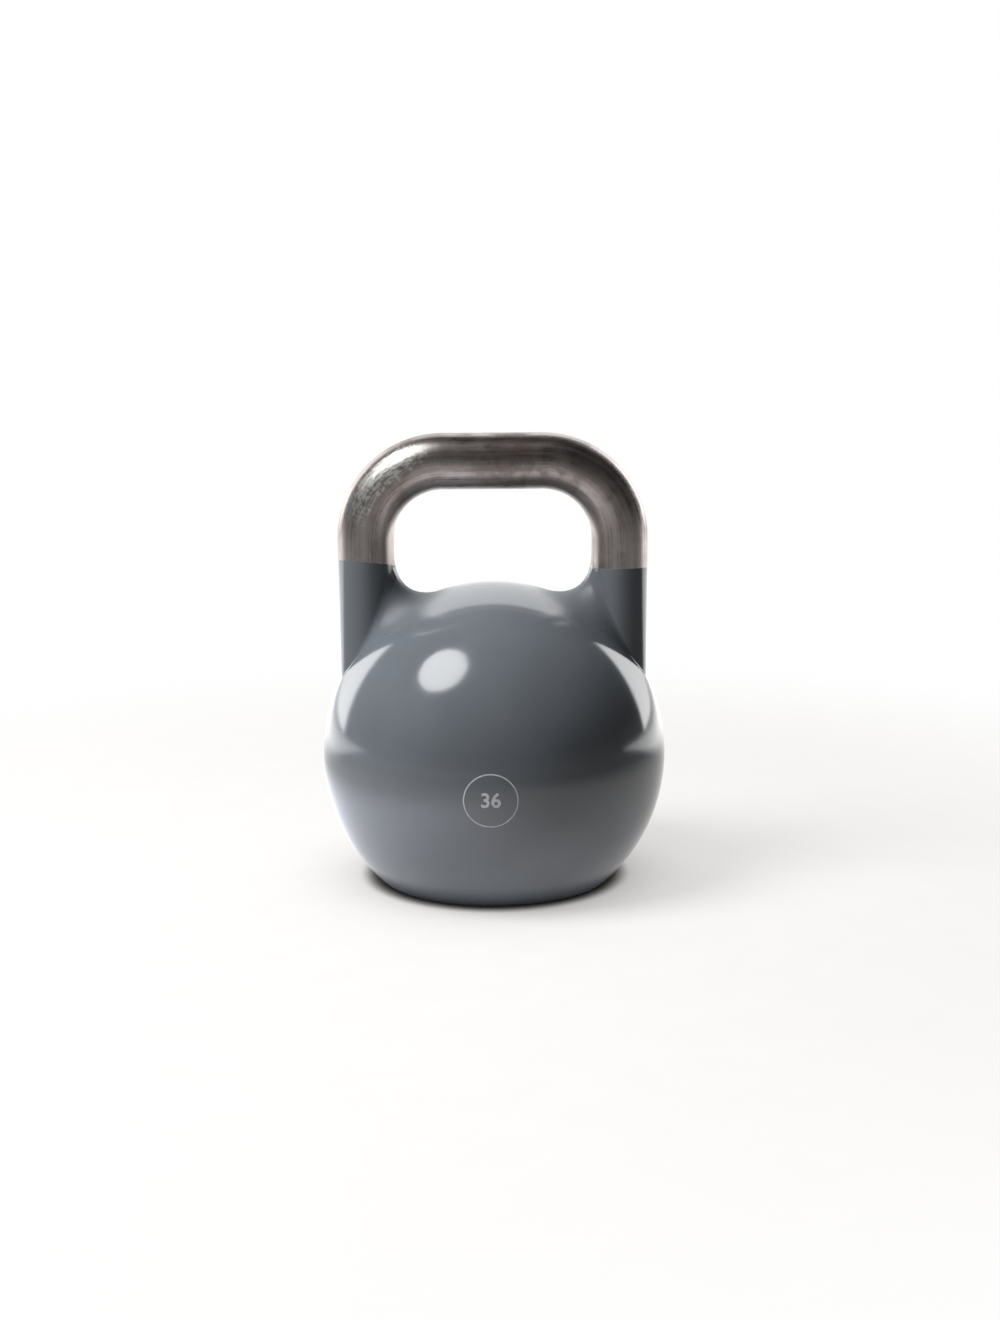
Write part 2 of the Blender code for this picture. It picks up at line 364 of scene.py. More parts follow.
class HornShape:
    """The surface of one horn: for each angle about the leg, a line, a fillet and the ball."""

    def __init__(self, ball, grip, side):
        self.side = side
        self.ball_radius = ball.radius
        self.centre_z = ball.centre_height
        self.leg_x = grip.leg_x
        self.leg_radius = grip.radius
        self.joint_z = grip.joint_height
        self.inner_fillet = ball.inner_fillet
        self.outer_fillet = ball.outer_fillet
        self.apron_x = math.sin(APRON_TILT)
        self.apron_z = math.cos(APRON_TILT)

    def outward_angle(self, point):
        """Angle of a point about the leg's axis, nought on the outer side."""
        return math.atan2(point.y, self.side * point.x - self.leg_x)

    def to_world(self, angle, distance, height):
        x = self.leg_x + distance * math.cos(angle)
        return Vector((self.side * x, distance * math.sin(angle), height))

    def section(self, angle):
        """The ball's circle in the upright half-plane at this angle: its centre and radius."""
        centre = -self.leg_x * math.cos(angle)
        radius = math.sqrt(self.ball_radius**2 - (self.leg_x * math.sin(angle)) ** 2)
        return centre, radius

    def fillet(self, angle):
        """The fillet's radius and centre, and how far it turns before it meets the ball."""
        inward = ((1 - math.cos(angle)) / 2) ** FILLET_GROWTH
        fillet = self.outer_fillet + (self.inner_fillet - self.outer_fillet) * inward
        centre, radius = self.section(angle)
        distance = self.leg_radius + fillet
        rise = math.sqrt((radius + fillet) ** 2 - (distance - centre) ** 2)
        return fillet, distance, self.centre_z + rise, math.atan2(rise, distance - centre)

    def straight(self, share):
        def place(point):
            angle = self.outward_angle(point)
            top = self.fillet(angle)[2]
            return self.to_world(angle, self.leg_radius, self.joint_z + (top - self.joint_z) * share)

        return place

    def fillet_ring(self, share):
        """Follows a conic from the leg to the ball, drawn nearer to their corner than an arc."""

        def place(point):
            angle = self.outward_angle(point)
            fillet, distance, height, turn = self.fillet(angle)
            start = Vector((self.leg_radius, height))
            corner = start - Vector((0, fillet * math.tan(turn / 2)))
            end = Vector((distance - fillet * math.cos(turn), height - fillet * math.sin(turn)))
            pull = FILLET_TIGHTNESS * math.cos(turn / 2)
            parts = ((1 - share) ** 2, 2 * share * (1 - share) * pull, share**2)
            spot = (start * parts[0] + corner * parts[1] + end * parts[2]) / sum(parts)
            return self.to_world(angle, spot.x, spot.y)

        return place

    def apron_ring(self, share):
        """Follows the ball from the fillet's end out to the rim of the apron."""

        def place(point):
            angle = self.outward_angle(point)
            centre, radius = self.section(angle)
            start = math.pi / 2 - self.fillet(angle)[3]
            across = self.apron_x * radius * math.cos(angle)
            up = self.apron_z * radius
            rim = self.ball_radius * math.cos(APRON_ANGLE)
            rim -= self.apron_x * self.leg_x * math.sin(angle) ** 2
            end = math.atan2(across, up) + math.acos(rim / math.hypot(across, up))
            tilt = start + (end - start) * share
            return self.to_world(
                angle, centre + radius * math.sin(tilt), self.centre_z + radius * math.cos(tilt)
            )

        return place


def ball_interior(ball):
    """Radius and height of each ring from the foot's edge, up the plug's seat, to the hollow's top."""
    seat_radius = PLUG_HIGH.x + GAP
    neck_radius = DISC_HIGH.x + GAP
    shoulder_z = GASKET_HIGH.z + GAP
    hollow_radius = RESIN_HIGH.z + GAP - ball.centre_height
    neck_angle = math.degrees(-math.acos(neck_radius / hollow_radius))
    rings = [(seat_radius + SEAT_BEVEL, 0), (seat_radius, SEAT_BEVEL), (seat_radius, shoulder_z)]
    rings += [(neck_radius, shoulder_z)]
    rings += [(neck_radius, ball.centre_height + hollow_radius * math.sin(math.radians(neck_angle)))]
    rings += arc_points(
        0, ball.centre_height, hollow_radius, neck_angle, HOLLOW_END, HOLLOW_STEPS
    )
    return rings


def model_ball(ball):
    """The ball with its flat foot and its hollow, open where each horn will stand."""
    bpy.ops.mesh.primitive_uv_sphere_add(
        segments=BALL_SEGMENTS,
        ring_count=BALL_RINGS,
        radius=ball.radius,
        location=(0, 0, ball.centre_height),
    )
    piece = start_piece("painted_ball_and_horns")
    edge_radius = ball.foot_edge
    edge_x = math.sqrt((ball.radius - edge_radius) ** 2 - (ball.centre_height - edge_radius) ** 2)
    edge_angle = math.atan2(edge_radius - ball.centre_height, edge_x)
    cut_z = ball.centre_height + ball.radius * math.sin(edge_angle)
    bpy.ops.mesh.select_all(action="SELECT")
    bpy.ops.mesh.bisect(plane_co=(0, 0, cut_z), plane_no=(0, 0, 1), clear_inner=True)
    select_edges(piece, lambda edge: edge.is_boundary)
    place_selected(piece, turned_point(ball.radius * math.cos(edge_angle), cut_z))
    extrude_profile(
        piece,
        arc_points(edge_x, edge_radius, edge_radius, math.degrees(edge_angle), -90, FOOT_STEPS),
    )
    extrude_profile(piece, [(edge_x - FOOT_RIM, 0)] + ball_interior(ball))
    bpy.ops.mesh.merge(type="CENTER")
    centre = Vector((0, 0, ball.centre_height))
    for side in SIDES.values():
        horn = HornShape(ball, bpy.context.scene.kettlebell_grip, side)
        towards = Vector((side * horn.apron_x, 0, horn.apron_z))
        reach = ball.radius * math.cos(APRON_ANGLE + APRON_GAP)
        bpy.ops.mesh.select_all(action="SELECT")
        bpy.ops.mesh.bisect(plane_co=centre + towards * reach, plane_no=towards, clear_outer=True)
    select_edges(piece, lambda edge: edge.is_boundary or any(v.is_boundary for v in edge.verts))
    bpy.ops.mesh.remove_doubles(threshold=SLIVER_WIDTH)
    select_edges(piece, lambda edge: edge.is_boundary)
    place_selected(piece, lambda point: centre + (point - centre).normalized() * ball.radius)
    bpy.ops.object.mode_set(mode="OBJECT")
    return piece


def model_horn(name, side, ball, grip):
    """One horn: its dowel bore, its joint face, its leg, its fillet and its part of the ball."""
    horn = HornShape(ball, grip, side)
    bore_radius = (DOWEL_HIGH.x - DOWEL_LOW.x) / 2 + GAP
    axis = Vector((side * grip.leg_x, 0, 0))
    bore_end = axis + Vector((0, 0, DOWEL_LOW.z - GAP))
    piece = start_disc(f"horn_skin_{name}", HORN_SEGMENTS, bore_radius, bore_end)
    for radius in (bore_radius, bore_radius + END_RIM, grip.radius - END_RIM, grip.radius):
        extrude_ring(piece, turned_point(radius, grip.joint_height, axis))
    stretches = (
        (horn.straight, STRAIGHT_RINGS),
        (horn.fillet_ring, FILLET_RINGS),
        (horn.apron_ring, APRON_RINGS),
    )
    for ring_at, count in stretches:
        for step in range(count):
            extrude_ring(piece, ring_at((step + 1) / count))
    bpy.ops.object.mode_set(mode="OBJECT")
    return piece


def join_pieces(target, others):
    deselect_all()
    for other in others:
        other.select_set(True)
    target.select_set(True)
    bpy.context.view_layer.objects.active = target
    bpy.ops.object.join()


def bridge_horns(piece):
    """Closes the narrow gap between each horn's apron and the ball."""
    for side in SIDES.values():
        bpy.ops.object.mode_set(mode="EDIT")
        select_edges(piece, lambda edge: edge.is_boundary and edge.verts[0].co.x * side > 0)
        bpy.ops.mesh.bridge_edge_loops(type="SINGLE")
        bpy.ops.object.mode_set(mode="OBJECT")


def bar_length(grip):
    """Length of the bar's centreline from joint to joint, and of its leg and its bend."""
    leg = BAR_HIGH.z - grip.radius - grip.bend_radius - grip.joint_height
    bend = grip.bend_radius * math.pi / 2
    span = 2 * (grip.leg_x - grip.bend_radius)
    return 2 * (leg + bend) + span, leg, bend


def shade_as_ball(mesh, ball):
    """Gives each point that lies on the ball the ball's own normal, so that its gloss is even."""
    centre = Vector((0, 0, ball.centre_height))
    ball_normals = {}
    for vert in mesh.vertices:
        reach = vert.co - centre
        if abs(reach.length - ball.radius) < ON_BALL and vert.co.z > 2 * ball.foot_edge:
            ball_normals[vert.index] = reach.normalized()
    normals = []
    for corner, shaded in zip(mesh.loops, mesh.corner_normals):
        normals.append(ball_normals.get(corner.vertex_index) or shaded.vector.copy())
    mesh.normals_split_custom_set(normals)


def straighten(mesh, grip):
    """Stores where each point would lie if the bent bar were laid out straight along X.

    The grain of the steel follows the bar through this attribute, with no seam.
    """
    length, leg, bend = bar_length(grip)
    corner_x = grip.leg_x - grip.bend_radius
    corner_z = BAR_HIGH.z - grip.radius - grip.bend_radius
    values = []
    for vert in mesh.vertices:
        x, y, z = vert.co
        inner = abs(x) - corner_x
        if z < corner_z:
            along, out = z - grip.joint_height, abs(x) - grip.leg_x
        elif inner < 0:
            along, out = leg + bend + corner_x - abs(x), z - corner_z - grip.bend_radius
        else:
            angle = math.atan2(z - corner_z, inner)
            along, out = leg + grip.bend_radius * angle, math.hypot(inner, z - corner_z)
            out -= grip.bend_radius
        values += [along if x < 0 else length - along, y, out]
    layer = mesh.attributes.new(name=STRAIGHT_BAR, type="FLOAT_VECTOR", domain="POINT")
    layer.data.foreach_set("vector", values)


class KETTLEBELL_OT_ball(bpy.types.Operator):
    """Models the painted ball with its two horns as one welded and painted skin"""

    bl_idname = "kettlebell.ball"
    bl_label = "Ball and Horns"

    def execute(self, context):
        deselect_all()
        ball = context.scene.kettlebell_ball
        grip = context.scene.kettlebell_grip
        piece = model_ball(ball)
        horns = []
        for name, side in SIDES.items():
            deselect_all()
            horns.append(model_horn(name, side, ball, grip))
        join_pieces(piece, horns)
        bridge_horns(piece)
        finish_piece(piece)
        shade_as_ball(piece.data, ball)
        straighten(piece.data, grip)
        material = paint_material(context.scene)
        hand_over(piece, material, ("ball_shell", "horn_left", "horn_right"))
        return {"FINISHED"}


# ---------------------------------------------------------------- the grip bar

BAR_SEGMENTS = 128
BAR_RING_LENGTH = 0.002  # between rings of the bar


def extrude_along(piece, offset, steps):
    for _ in range(steps):
        bpy.ops.mesh.extrude_edges_move()
        bpy.ops.transform.translate(value=Vector(offset) / steps)


def model_grip(grip):
    """The bent bar from its left end to its right end, with a bore for a dowel in each end."""
    bore_radius = (DOWEL_HIGH.x - DOWEL_LOW.x) / 2 + GAP
    _, leg, bend = bar_length(grip)
    left = Vector((-grip.leg_x, 0, 0))
    right = Vector((grip.leg_x, 0, 0))
    bore_end = Vector((0, 0, DOWEL_HIGH.z + GAP))
    corner_x = grip.leg_x - grip.bend_radius
    corner_z = BAR_HIGH.z - grip.radius - grip.bend_radius
    joint = grip.joint_height
    piece = start_disc("bent_grip_bar", BAR_SEGMENTS, bore_radius, left + bore_end)
    for radius in (bore_radius, bore_radius + END_RIM, grip.radius - END_RIM, grip.radius):
        extrude_ring(piece, turned_point(radius, joint, left))
    leg_steps = round(leg / BAR_RING_LENGTH)
    bend_steps = round(bend / BAR_RING_LENGTH)
    span_steps = round(2 * corner_x / BAR_RING_LENGTH)
    extrude_along(piece, (0, 0, leg), leg_steps)
    for corner in (-corner_x, corner_x):
        bpy.ops.mesh.spin(
            steps=bend_steps, angle=-math.pi / 2, center=(corner, 0, corner_z), axis=(0, 1, 0)
        )
        if corner < 0:
            extrude_along(piece, (2 * corner_x, 0, 0), span_steps)
    extrude_along(piece, (0, 0, -leg), leg_steps)
    for radius in (grip.radius - END_RIM, bore_radius + END_RIM, bore_radius):
        extrude_ring(piece, turned_point(radius, joint, right))
    extrude_ring(piece, turned_point(bore_radius, bore_end.z, right))
    bpy.ops.mesh.edge_face_add()
    bpy.ops.object.mode_set(mode="OBJECT")
    return piece


class KETTLEBELL_OT_grip(bpy.types.Operator):
    """Models the bent steel grip bar, with its welds ground flush"""

    bl_idname = "kettlebell.grip"
    bl_label = "Grip Bar"

    def execute(self, context):
        deselect_all()
        grip = context.scene.kettlebell_grip
        piece = model_grip(grip)
        finish_piece(piece)
        straighten(piece.data, grip)
        replaced = ("handle_bar", "weld_ring_left", "weld_ring_right")
        hand_over(piece, steel_material(context.scene), replaced)
        return {"FINISHED"}


# ---------------------------------------------------------------- the printed weight mark

INK_THICKNESS = 0.00006
NUMERAL_SWELL = 0.00025  # how much bolder than the plain type the numerals are
RING_SEGMENTS = 120
MARK_CENTRE = (-0.0023, 0.0735)  # X and Z of the mark's middle, as seen from the front
MARK_CUT = 0.0012  # the mark is cut into squares of this size, so that it follows the ball


def wrap_on_ball(piece, ball):
    """Cuts a flat mark that lies in the XZ plane into small faces and lays them on the ball."""
    bpy.ops.object.mode_set(mode="EDIT")
    low = [min(vert.co[axis] for vert in piece.data.vertices) for axis in range(3)]
    high = [max(vert.co[axis] for vert in piece.data.vertices) for axis in range(3)]
    for axis, normal in ((0, (1, 0, 0)), (2, (0, 0, 1))):
        cuts = int((high[axis] - low[axis]) / MARK_CUT)
        for cut in range(1, cuts + 1):
            point = [0, 0, 0]
            point[axis] = low[axis] + cut * MARK_CUT
            bpy.ops.mesh.select_all(action="SELECT")
            bpy.ops.mesh.bisect(plane_co=point, plane_no=normal)
    bpy.ops.mesh.select_all(action="SELECT")
    centre = Vector((0, 0, ball.centre_height))
    reach = ball.radius + INK_THICKNESS / 2

    def place(point):
        across, up = point.x / ball.radius, (point.z - ball.centre_height) / ball.radius
        direction = Vector((math.sin(across), -math.cos(across), 0)) * math.cos(up)
        return centre + (direction + Vector((0, 0, math.sin(up)))) * reach

    place_selected(piece, place)
    bpy.ops.mesh.remove_doubles(threshold=1e-6)
    bpy.ops.object.mode_set(mode="OBJECT")
    solidify = piece.modifiers.new("ink", "SOLIDIFY")
    solidify.thickness = INK_THICKNESS
    solidify.offset = 0
    bpy.ops.object.modifier_apply(modifier=solidify.name)
    finish_piece(piece)


class KETTLEBELL_OT_mark(bpy.types.Operator):
    """Prints the weight in plain numerals inside a thin ring on the front of the ball"""

    bl_idname = "kettlebell.mark"
    bl_label = "Weight Mark"

    def execute(self, context):
        mark = context.scene.kettlebell_mark
        ball = context.scene.kettlebell_ball
        place = (MARK_CENTRE[0], 0, MARK_CENTRE[1])
        ink = ink_material()
        deselect_all()
        bpy.ops.object.text_add(location=place, rotation=(math.pi / 2, 0, 0))
        numerals = bpy.context.object
        numerals.name = "printed_weight"
        numerals.data.body = mark.text
        numerals.data.size = mark.height
        numerals.data.align_x = "CENTER"
        numerals.data.align_y = "CENTER"
        numerals.data.resolution_u = 8
        numerals.data.offset = NUMERAL_SWELL
        bpy.ops.object.convert(target="MESH")
        bpy.ops.object.transform_apply(location=True, rotation=True, scale=True)
        wrap_on_ball(numerals, ball)
        hand_over(numerals, ink)
        deselect_all()
        bpy.ops.mesh.primitive_circle_add(
            vertices=RING_SEGMENTS,
            radius=mark.ring_radius,
            location=place,
            rotation=(math.pi / 2, 0, 0),
        )
        ring = start_piece("printed_ring")
        bpy.ops.mesh.select_all(action="SELECT")
        bpy.ops.mesh.extrude_edges_move()
        middle = Vector(place)
        inner = mark.ring_radius - mark.line_width
        place_selected(ring, lambda point: middle + (point - middle).normalized() * inner)
        bpy.ops.object.mode_set(mode="OBJECT")
        wrap_on_ball(ring, ball)
        hand_over(ring, ink)
        return {"FINISHED"}


# ---------------------------------------------------------------- the pieces under the ball


SCREW_SEGMENTS = 48
THREAD_PITCH = 0.001
THREAD_DEPTH = 0.0004
THREAD_CREST = 0.2  # the crest's width as a share of the pitch
THREAD_SHARP_ANGLE = 30
HEX_SIDES = 6
SOCKET_RADIUS = 0.0017
SOCKET_DEPTH = 0.0025
SCREW_CHAMFER = 0.0004


def model_screw(name, low, high):
    """A socket set screw with its socket facing down."""
    radius = (high.x - low.x) / 2
    core = radius - THREAD_DEPTH
    axis = Vector(((low.x + high.x) / 2, (low.y + high.y) / 2, 0))
    start = axis + Vector((0, 0, low.z))
    piece = start_disc(name, SCREW_SEGMENTS, SOCKET_RADIUS, start)

    def turned(ring_radius, height):
        return turned_point(ring_radius, height, axis)

    def hexagon(height):
        def place(point):
            offset = point - axis
            angle = math.atan2(offset.y, offset.x)
            sector = math.pi / HEX_SIDES
            turned_in = (angle % (2 * sector)) - sector
            reach = SOCKET_RADIUS * math.cos(sector) / math.cos(turned_in)
            return turned(reach, height)(point)

        return place

    place_selected(piece, hexagon(low.z + SOCKET_DEPTH))
    extrude_ring(piece, hexagon(low.z))
    extrude_ring(piece, turned(core - SCREW_CHAMFER / 2, low.z))
    turns = int((high.z - low.z - 2 * SCREW_CHAMFER) / THREAD_PITCH)
    height = low.z + SCREW_CHAMFER
    extrude_ring(piece, turned(core, height))
    for _ in range(turns):
        for share in ((1 - THREAD_CREST) / 2, (1 + THREAD_CREST) / 2):
            extrude_ring(piece, turned(radius, height + THREAD_PITCH * share))
        height += THREAD_PITCH
        extrude_ring(piece, turned(core, height))
    extrude_ring(piece, turned(core - SCREW_CHAMFER, high.z))
    extrude_ring(piece, turned(SOCKET_RADIUS / 2, high.z - SCREW_CHAMFER))
    bpy.ops.mesh.edge_face_add()
    bpy.ops.object.mode_set(mode="OBJECT")
    return piece


class KETTLEBELL_OT_screws(bpy.types.Operator):
    """Models the two seam screws that lock the base plug, with cupped tips and hex sockets"""

    bl_idname = "kettlebell.screws"
    bl_label = "Seam Screws"

    def execute(self, context):
        steel = screw_material()
        for node in ("seam_screw_front", "seam_screw_back"):
            deselect_all()
            low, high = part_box(node)
            piece = model_screw(node.replace("seam_screw", "socket_screw"), low, high)
            finish_piece(piece, THREAD_SHARP_ANGLE)
            hand_over(piece, steel, (node,))
        return {"FINISHED"}


class KETTLEBELL_OT_inner_pieces(bpy.types.Operator):
    """Gives the pieces inside the ball and under it their own finishes"""

    bl_idname = "kettlebell.inner_pieces"
    bl_label = "Inner Pieces"

    def execute(self, context):
        finishes = {
            "base_plug": turned_material("turned_plug", (0.42, 0.41, 0.40), 0.30),
            "dowel_left": turned_material("turned_dowel", (0.50, 0.49, 0.47), 0.24),
            "dowel_right": bpy.data.materials["turned_dowel"],
            "ballast_slug": cast_material(),
            "potting_resin": resin_material(),
            "packing_disc": rubber_material("packing_rubber", 0.030),
            "plug_gasket": rubber_material("gasket_rubber", 0.018),
        }
        for name, material in finishes.items():
            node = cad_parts[name]
            node.data.materials.clear()
            node.data.materials.append(material)
        return {"FINISHED"}


# ---------------------------------------------------------------- materials


def link(tree, start, end):
    tree.links.new(start, end)


def set_input(tree, socket, value):
    """Links a value's socket to an input, or sets the input itself."""
    if isinstance(value, bpy.types.NodeSocket):
        link(tree, value, socket)
    else:
        socket.default_value = value


def add_node(tree, kind, inputs=None, **values):
    """Adds a shader node, sets its properties and fills or links its inputs by name or number."""
    node = tree.nodes.new(kind)
    for key, value in values.items():
        setattr(node, key, value)
    for key, value in (inputs or {}).items():
        set_input(tree, node.inputs[key], value)
    return node


def calculate(tree, operation, *values, clamp=False):
    inputs = dict(enumerate(values))
    return add_node(tree, "ShaderNodeMath", inputs, operation=operation, use_clamp=clamp).outputs[0]


def product(tree, value, *others):
    for other in others:
        value = calculate(tree, "MULTIPLY", value, other)
    return value


def weighted_sum(tree, *terms, start=0.0):
    """Adds up values that each come with a weight."""
    total = start
    for value, weight in terms:
        total = calculate(tree, "MULTIPLY_ADD", value, weight, total)
    return total


def mix_colours(tree, factor, first, second):
    inputs = {0: factor}
    for key, colour in ((6, first), (7, second)):
        is_socket = isinstance(colour, bpy.types.NodeSocket)
        inputs[key] = colour if is_socket else (*colour, 1)
    return add_node(tree, "ShaderNodeMix", inputs, data_type="RGBA").outputs[2]


def spread(tree, value, low, high, to_low=0.0, to_high=1.0):
    """Maps a value from one range smoothly to another."""
    inputs = {0: value, 1: low, 2: high, 3: to_low, 4: to_high}
    return add_node(
        tree, "ShaderNodeMapRange", inputs, interpolation_type="SMOOTHSTEP"
    ).outputs[0]


def noise(tree, vector, scale, detail=2.0, roughness=0.5):
    inputs = {"Vector": vector, "Scale": scale, "Detail": detail, "Roughness": roughness}
    return add_node(tree, "ShaderNodeTexNoise", inputs).outputs["Fac"]


def stretch(tree, vector, scale):
    inputs = {"Vector": vector, "Scale": scale}
    return add_node(tree, "ShaderNodeMapping", inputs).outputs[0]


def object_point(tree):
    return add_node(tree, "ShaderNodeTexCoord").outputs["Object"]


def axes_of(tree, vector):
    return add_node(tree, "ShaderNodeSeparateXYZ", {0: vector}).outputs


def length_of(tree, vector):
    return add_node(tree, "ShaderNodeVectorMath", {0: vector}, operation="LENGTH").outputs["Value"]


def level_length(tree, x, y):
    flat = add_node(tree, "ShaderNodeCombineXYZ", {0: x, 1: y}).outputs[0]
    return length_of(tree, flat)


def distance_from_leg(tree, x, leg_x):
    """How far outside a leg's axis a point lies, on either side of the middle."""
    return calculate(tree, "SUBTRACT", calculate(tree, "ABSOLUTE", x), leg_x)


def new_group(name, inputs, outputs):
    """Starts a shader node group; inputs hold (name, socket type, default)."""
    group = bpy.data.node_groups.new(name, "ShaderNodeTree")
    for label, kind, default in inputs:
        socket = group.interface.new_socket(name=label, in_out="INPUT", socket_type=kind)
        if default is not None:
            socket.default_value = default
    for label, kind in outputs:
        group.interface.new_socket(name=label, in_out="OUTPUT", socket_type=kind)
    return group, group.nodes.new("NodeGroupInput"), group.nodes.new("NodeGroupOutput")


FLOAT = "NodeSocketFloat"
COLOUR = "NodeSocketColor"
VECTOR = "NodeSocketVector"


def place_group(tree, name, inputs=None):
    """Adds a node group to a tree and returns its outputs."""
    node = tree.nodes.new("ShaderNodeGroup")
    node.node_tree = bpy.data.node_groups[name]
    for key, value in (inputs or {}).items():
        set_input(tree, node.inputs[key], value)
    return node.outputs


def build_ripple_group():
    """Shallow waves and fine grain of sprayed gloss paint, as a height in metres."""
    group, given, result = new_group(
        "sprayed_ripple",
        [
            ("Point", VECTOR, None),
            ("Wave Height", FLOAT, 0.000016),
            ("Wave Scale", FLOAT, 110.0),
            ("Peel Height", FLOAT, 0.00001),
            ("Peel Scale", FLOAT, 430.0),
        ],
        [("Height", FLOAT), ("Mottle", FLOAT)],
    )
    given = given.outputs
    waves = noise(group, given["Point"], given["Wave Scale"], 1.0)
    peel = noise(group, given["Point"], given["Peel Scale"], 1.0)
    height = weighted_sum(group, (waves, given["Wave Height"]), (peel, given["Peel Height"]))
    link(group, height, result.inputs["Height"])
    link(group, noise(group, given["Point"], 22.0, 4.0), result.inputs["Mottle"])


HELD_REACH = (0.03, 0.11)  # the hands' stains fade between these distances from the bar's middle
HELD_LEAST = 0.4
WORN_HIGHLIGHT_FACING = (0.50, -0.87)  # the worn side of the bar, which carries a painted highlight, faces outwards and to the front
WORN_HIGHLIGHT_EDGE = (1.64, 1.80)  # where the patch of wear and painted highlight starts and is full, as its facing and wear add up
WORN_HIGHLIGHT_START = (0.004, 0.022)  # how the patch fades in after the bend's start
WORN_HIGHLIGHT_FINISH = (-0.004, 0.020)  # and out before the bend's end
STEEL_ROUGHNESS = 0.24
STREAK_DEPTH = 0.00012


def worn_patch_and_painted_highlight(group, along, axes, given, streaks, patches):
    """One where the first bend is rubbed bright and carries a painted highlight, broken up by scuffs and
    hatching.
    """
    facing = weighted_sum(group, (axes["Z"], WORN_HIGHLIGHT_FACING[0]), (axes["Y"], WORN_HIGHLIGHT_FACING[1]))
    facing = calculate(group, "DIVIDE", facing, given["Bar Radius"])
    hatch = noise(group, stretch(group, along, (700, 90, 90)), 1.0, 3.0, 0.6)
    facing = weighted_sum(group, (streaks, 0.5), (hatch, 0.5), (patches, 0.5), start=facing)
    scuffs = noise(group, stretch(group, along, (260, 700, 700)), 1.0, 4.0, 0.65)
    begin = calculate(group, "SUBTRACT", axes["X"], given["Bend Start"])
    finish = calculate(group, "SUBTRACT", given["Bend End"], axes["X"])
    return product(
        group,
        spread(group, facing, *WORN_HIGHLIGHT_EDGE),
        spread(group, scuffs, 0.40, 0.56, 0.25, 1.0),
        spread(group, begin, *WORN_HIGHLIGHT_START),
        spread(group, finish, *WORN_HIGHLIGHT_FINISH),
        spread(group, patches, 0.36, 0.50, 0.30, 1.0),
    )


def build_steel_group():
    """Bare handled steel on a bar: drawn streaks along it, hand stains, brown tints and a worn patch
    with a painted highlight.
    """
    group, given, result = new_group(
        "handled_steel",
        [
            ("Steel Colour", COLOUR, None),
            ("Dark Colour", COLOUR, (0.14, 0.112, 0.106, 1)),
            ("Stain Colour", COLOUR, (0.11, 0.075, 0.060, 1)),
            # colour of the worn patch with its painted highlight on the first bend
            ("Worn And Highlight Colour", COLOUR, (0.66, 0.66, 0.63, 1)),
            ("Bar Radius", FLOAT, 0.017),
            ("Bar Middle", FLOAT, 0.1),
            ("Bend Start", FLOAT, 0.007),
            ("Bend End", FLOAT, 0.08),
        ],
        [("Colour", COLOUR), ("Roughness", FLOAT), ("Height", FLOAT)],
    )
    given = given.outputs
    along = add_node(group, "ShaderNodeAttribute", attribute_name=STRAIGHT_BAR).outputs["Vector"]
    axes = axes_of(group, along)
    hair = noise(group, stretch(group, along, (45, 2400, 2400)), 1.0, 2.0)
    fine = noise(group, stretch(group, along, (22, 900, 900)), 1.0, 3.0, 0.6)
    broad = noise(group, stretch(group, along, (8, 240, 240)), 1.0, 2.0)
    patches = noise(group, along, 26.0, 6.0, 0.62)
    blotches = noise(group, along, 130.0, 4.0, 0.6)
    streaks = weighted_sum(group, (broad, 0.40), (fine, 0.38), (hair, 0.22))
    tone = spread(group, weighted_sum(group, (streaks, 0.70), (blotches, 0.30)), 0.30, 0.58)
    streaked = mix_colours(group, tone, given["Dark Colour"], given["Steel Colour"])
    stain = weighted_sum(group, (patches, 0.65), (blotches, 0.35))
    stain = spread(group, stain, 0.44, 0.66, 0.0, 0.75)
    from_middle = calculate(group, "SUBTRACT", axes["X"], given["Bar Middle"])
    from_middle = calculate(group, "ABSOLUTE", from_middle)
    stain = product(group, stain, spread(group, from_middle, *HELD_REACH, 1.0, HELD_LEAST))
    # worn holds the worn patch and its painted highlight on the first bend
    worn = worn_patch_and_painted_highlight(group, along, axes, given, streaks, patches)
    coloured = mix_colours(group, stain, streaked, given["Stain Colour"])
    coloured = mix_colours(group, worn, coloured, given["Worn And Highlight Colour"])
    link(group, coloured, result.inputs["Colour"])
    rough = weighted_sum(group, (stain, 0.12), (worn, 0.08), (tone, 0.10), start=STEEL_ROUGHNESS)
    link(group, rough, result.inputs["Roughness"])
    link(group, product(group, streaks, STREAK_DEPTH), result.inputs["Height"])


def build_grain_group():
    """A fine random grain for castings, rubber and resin."""
    group, given, result = new_group(
        "fine_grain",
        [("Scale", FLOAT, 500.0), ("Depth", FLOAT, 0.00005)],
        [("Grain", FLOAT), ("Patches", FLOAT), ("Clumps", FLOAT), ("Height", FLOAT)],
    )
    point = object_point(group)
    grain = noise(group, point, given.outputs["Scale"], 4.0, 0.6)
    patches = noise(group, point, 35.0, 4.0)
    link(group, grain, result.inputs["Grain"])
    link(group, patches, result.inputs["Patches"])
    link(group, product(group, grain, patches), result.inputs["Clumps"])
    link(group, product(group, grain, given.outputs["Depth"]), result.inputs["Height"])


def new_material(name):
    """A material with a Principled shader ready to be linked."""
    material = bpy.data.materials.new(name)
    material.use_nodes = True
    shader = material.node_tree.nodes["Principled BSDF"]
    return material, material.node_tree, shader


def add_bump(tree, shader, height):
    inputs = {"Height": height, "Distance": 1.0, "Strength": 1.0}
    bump = add_node(tree, "ShaderNodeBump", inputs)
    link(tree, bump.outputs["Normal"], shader.inputs["Normal"])


LINE_WOBBLE = 0.0006  # how far the masked edge wanders
LINE_BLUR = 0.0001


